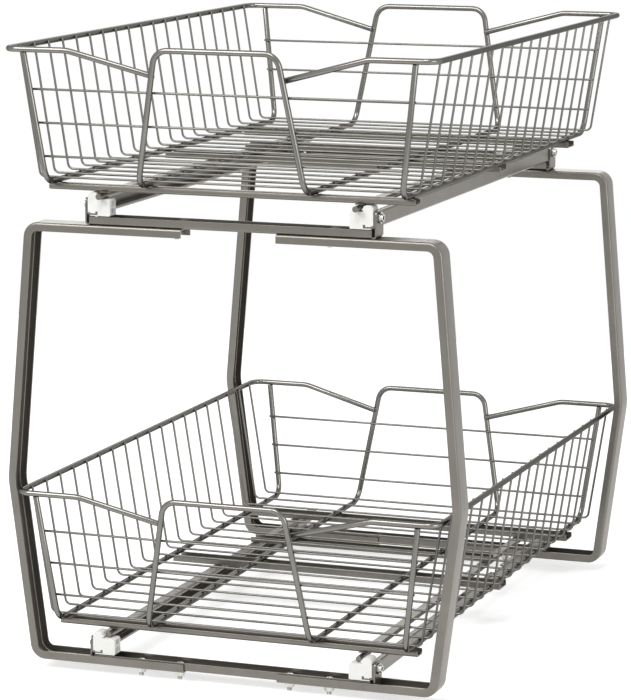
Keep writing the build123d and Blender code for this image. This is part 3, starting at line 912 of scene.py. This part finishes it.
class MakeEndWires(bpy.types.Operator):
    """Lay the thin wires across the front and rear ends"""
    bl_idname = "organizer.end_wires"
    bl_label = "End Wires"

    def execute(self, context):
        w = context.scene.organizer_wires
        for tier in TIERS:
            front_y, floor_z = basket_place(tier)
            for end in ENDS:
                shape = bmesh.new()
                for number in range(w.end_count):
                    height = w.end_first + number * w.end_pitch
                    half = outer_rod_x(w, height) + w.end_over
                    inset = lean(w, height) + (w.rod + w.wire) / 2 + w.weld_gap
                    y = front_y + (inset if end == "front" else w.depth - inset)
                    route = [Vector((x, y, floor_z + height)) for x in (-half, half)]
                    add_tube(shape, route, w.wire / 2, WIRE_SIDES)
                name = f"{tier}_{end}_wires"
                # The end wires take the wire coat with a painted shade
                new_piece(name + "_straight", shape, body_of(tier), "pewter_wire", (name,),
                          "thin_wire_painted_shade")
        return {"FINISHED"}


class MakeFrontChannels(bpy.types.Operator):
    """Fold the narrow channels under the front of the floors"""
    bl_idname = "organizer.front_channels"
    bl_label = "Front Channels"

    def execute(self, context):
        w = context.scene.organizer_wires
        for tier in TIERS:
            front_y, floor_z = basket_place(tier)
            shape = bmesh.new()
            add_channel(shape, w.channel_half, w.channel_width, w.channel_height,
                        w.channel_sheet, w.channel_bend)
            base = floor_z - w.rod / 2 - w.weld_gap - w.channel_height
            place = Vector((0, front_y + w.channel_y + w.channel_width / 2, base))
            bmesh.ops.translate(shape, verts=shape.verts, vec=place)
            new_piece(tier + "_front_channel", shape, body_of(tier), "pewter_sheet",
                      (tier + "_front_cross_rod",), sharp_degrees=CHANNEL_SHARP_DEGREES)
        return {"FINISHED"}


class MakeStiffeners(bpy.types.Operator):
    """Dress the channels under the basket floors"""
    bl_idname = "organizer.stiffeners"
    bl_label = "Stiffeners"

    def execute(self, context):
        for tier in TIERS:
            for place in ("middle_stiffener", "rear_tie", "rear_stiffener"):
                dressed_copy(f"{tier}_{place}", body_of(tier), "pewter_sheet")
        return {"FINISHED"}


class MakeMovingRails(bpy.types.Operator):
    """Dress the moving rails and the nylon shoes behind them"""
    bl_idname = "organizer.moving_rails"
    bl_label = "Moving Rails"

    def execute(self, context):
        for tier in TIERS:
            for side, _ in SIDES:
                dressed_copy(f"{tier}_moving_rail_{side}", body_of(tier), "pewter_sheet")
                dressed_copy(f"{tier}_rear_shoe_{side}", body_of(tier), "nylon")
        return {"FINISHED"}


class MakeWelds(bpy.types.Operator):
    """Set a small weld bead wherever a wire or a rim end crosses a rod"""
    bl_idname = "organizer.welds"
    bl_label = "Weld Beads"

    def execute(self, context):
        w = context.scene.organizer_wires
        for tier in TIERS:
            front_y, floor_z = basket_place(tier)
            shape = bmesh.new()
            self.add_side_beads(shape, w, front_y, floor_z)
            for end in ENDS:
                self.add_end_beads(shape, w, end, front_y, floor_z)
            new_piece(tier + "_weld_beads", shape, body_of(tier), "pewter_wire",
                      sharp_degrees=BEAD_SHARP_DEGREES)
        return {"FINISHED"}

    def add_side_beads(self, shape, w, front_y, floor_z):
        for number in range(w.side_count):
            y = front_y + w.side_first + number * w.side_pitch
            for x in (w.foot_x, w.outer_floor_x):
                for sign in (-1, 1):
                    centre = (sign * x, y, floor_z + w.rod / 2 + w.weld_gap)
                    add_bead(shape, centre, w.wire / 2, FLOOR_BEAD)
            for sign in (-1, 1):
                centre = (sign * (w.rim_half_width - w.rod / 2), y, floor_z + w.rim_height)
                add_bead(shape, centre, w.wire / 2, SIDE_RIM_BEAD)

    def add_end_beads(self, shape, w, end, front_y, floor_z):
        def rod_y(height):
            inset = lean(w, height) + w.rod / 2
            return front_y + (inset if end == "front" else w.depth - inset)

        for number in range(w.end_count):
            height = w.end_first + number * w.end_pitch
            outer = outer_rod_x(w, height)
            leg = handle_leg_x(w, height)
            for x in (-outer, -leg, leg, outer):
                centre = (x, rod_y(height), floor_z + height)
                add_bead(shape, centre, w.wire / 2, END_WIRE_BEAD)
        leg = handle_leg_x(w, w.rim_end_height)
        for x in (-leg, leg):
            centre = (x, rod_y(w.rim_end_height), floor_z + w.rim_end_height)
            add_bead(shape, centre, w.wire / 2, RIM_END_BEAD, subdivisions=2)


# Stage

FLOOR_REACH = 1.3
FLOOR_GLOW = 0.6
WORLD_LIGHT = 0.25
WORLD_SEEN = 1.0
SENSOR_WIDTH = 36.0
FAR_CLIP = 50.0
LAMP_AIM = Vector((0, 0, 0.25))

# Each softbox with its place and size in metres and its power in watts
LAMPS = (
    ("key_softbox", (-1.3, -2.2, 2.4), 1.6, 62),
    ("high_softbox", (0.3, -1.6, 2.65), 1.1, 32),
    ("fill_softbox", (2.4, -1.2, 0.8), 1.3, 20),
    ("back_softbox", (-0.8, 2.4, 1.6), 1.5, 14),
)


class MakeStage(bpy.types.Operator):
    """Set up the pale floor, the soft lamps, the world and the camera"""
    bl_idname = "organizer.stage"
    bl_label = "Stage"

    def execute(self, context):
        scene = context.scene
        make_floor(scene)
        white_world(scene)
        for name, place, size, power in LAMPS:
            soft_lamp(scene, name, place, size, power)
        photo_camera(scene)
        scene.view_settings.view_transform = "Standard"
        return {"FINISHED"}


def make_floor(scene):
    """A square of pale floor under the object."""
    mesh = bpy.data.meshes.new("floor")
    mesh.from_pydata(
        [(-FLOOR_REACH, -FLOOR_REACH, 0), (FLOOR_REACH, -FLOOR_REACH, 0),
         (FLOOR_REACH, FLOOR_REACH, 0), (-FLOOR_REACH, FLOOR_REACH, 0)],
        [], [(0, 1, 2, 3)],
    )
    mesh.materials.append(floor_material(tuple(scene.organizer_finishes.floor)))
    floor = bpy.data.objects.new("floor", mesh)
    scene.collection.objects.link(floor)


def floor_material(tone):
    """Pale matte floor that meets a white background and keeps the shadow."""
    material = bpy.data.materials.new("pale_floor")
    material.use_nodes = True
    tree = material.node_tree
    tree.nodes.clear()
    output = tree.nodes.new("ShaderNodeOutputMaterial")
    diffuse = tree.nodes.new("ShaderNodeBsdfDiffuse")
    diffuse.inputs["Color"].default_value = (*tone, 1)
    glow = tree.nodes.new("ShaderNodeEmission")
    scale = tree.nodes.new("ShaderNodeMath")
    scale.operation = "MULTIPLY"
    scale.inputs[1].default_value = FLOOR_GLOW
    tree.links.new(seen_rays(tree), scale.inputs[0])
    tree.links.new(scale.outputs[0], glow.inputs["Strength"])
    add = tree.nodes.new("ShaderNodeAddShader")
    tree.links.new(diffuse.outputs[0], add.inputs[0])
    tree.links.new(glow.outputs[0], add.inputs[1])
    tree.links.new(add.outputs[0], output.inputs["Surface"])
    return material


def seen_rays(tree):
    """One for camera, glossy and transmission rays, zero for the rest."""
    path = tree.nodes.new("ShaderNodeLightPath")
    first = tree.nodes.new("ShaderNodeMath")
    first.operation = "MAXIMUM"
    second = tree.nodes.new("ShaderNodeMath")
    second.operation = "MAXIMUM"
    tree.links.new(path.outputs["Is Camera Ray"], first.inputs[0])
    tree.links.new(path.outputs["Is Glossy Ray"], first.inputs[1])
    tree.links.new(first.outputs[0], second.inputs[0])
    tree.links.new(path.outputs["Is Transmission Ray"], second.inputs[1])
    return second.outputs[0]


def white_world(scene):
    """White where it is seen, soft grey where it lights."""
    world = bpy.data.worlds.new("studio_world")
    world.use_nodes = True
    tree = world.node_tree
    background = tree.nodes["Background"]
    background.inputs["Color"].default_value = (1, 1, 1, 1)
    level = tree.nodes.new("ShaderNodeMapRange")
    level.inputs["To Min"].default_value = WORLD_LIGHT
    level.inputs["To Max"].default_value = WORLD_SEEN
    tree.links.new(seen_rays(tree), level.inputs["Value"])
    tree.links.new(level.outputs["Result"], background.inputs["Strength"])
    scene.world = world


def soft_lamp(scene, name, place, size, power):
    """A square softbox aimed at the middle of the object."""
    data = bpy.data.lights.new(name, "AREA")
    data.shape = "SQUARE"
    data.size = size
    data.energy = power
    lamp = bpy.data.objects.new(name, data)
    scene.collection.objects.link(lamp)
    lamp.location = place
    aim = LAMP_AIM - Vector(place)
    lamp.rotation_euler = aim.to_track_quat("-Z", "Y").to_euler()


def photo_camera(scene):
    """The camera at the photograph's angle."""
    settings = scene.organizer_stage
    data = bpy.data.cameras.new("photo_camera")
    data.sensor_fit = "HORIZONTAL"
    data.sensor_width = SENSOR_WIDTH
    data.lens = settings.lens
    data.clip_end = FAR_CLIP
    camera = bpy.data.objects.new("photo_camera", data)
    scene.collection.objects.link(camera)
    az, el = settings.azimuth, settings.elevation
    ahead = Vector((-math.sin(az) * math.cos(el), math.cos(az) * math.cos(el), -math.sin(el)))
    camera.location = (settings.camera_x, settings.camera_y, settings.camera_z)
    camera.rotation_euler = ahead.to_track_quat("-Z", "Y").to_euler()
    scene.camera = camera


# Panel and registration

class OrganizerPanel(bpy.types.Panel):
    """Lists the steps that make the organizer"""
    bl_idname = "VIEW3D_PT_organizer"
    bl_label = "Organizer"
    bl_space_type = "VIEW_3D"
    bl_region_type = "UI"
    bl_category = "Organizer"

    def draw(self, context):
        for step in STEPS:
            self.layout.operator(step.bl_idname, text=step.bl_label)


STEPS = (
    MakeHalfFrames, MakeCrossBars, MakeFixedRails, MakeGlideBlocks, MakeRivets,
    MakeScrews, MakeNuts, MakeRims, MakeHandleLoops, MakeOuterRods, MakeSideWires,
    MakeEndWires, MakeFrontChannels, MakeStiffeners, MakeMovingRails, MakeWelds, MakeStage,
)
GROUPS = (WireSizes, FastenerSizes, Finishes, StageSettings)


def register():
    for group in (*GROUPS, *STEPS, OrganizerPanel):
        bpy.utils.register_class(group)
    scene = bpy.types.Scene
    scene.organizer_wires = PointerProperty(type=WireSizes)
    scene.organizer_fasteners = PointerProperty(type=FastenerSizes)
    scene.organizer_finishes = PointerProperty(type=Finishes)
    scene.organizer_stage = PointerProperty(type=StageSettings)


def unregister():
    scene = bpy.types.Scene
    for name in ("wires", "fasteners", "finishes", "stage"):
        delattr(scene, "organizer_" + name)
    for group in reversed((*GROUPS, *STEPS, OrganizerPanel)):
        bpy.utils.unregister_class(group)


def main():
    register()
    for step in STEPS:
        family, name = step.bl_idname.split(".")
        getattr(getattr(bpy.ops, family), name)()


if __name__ == "__main__":
    main()
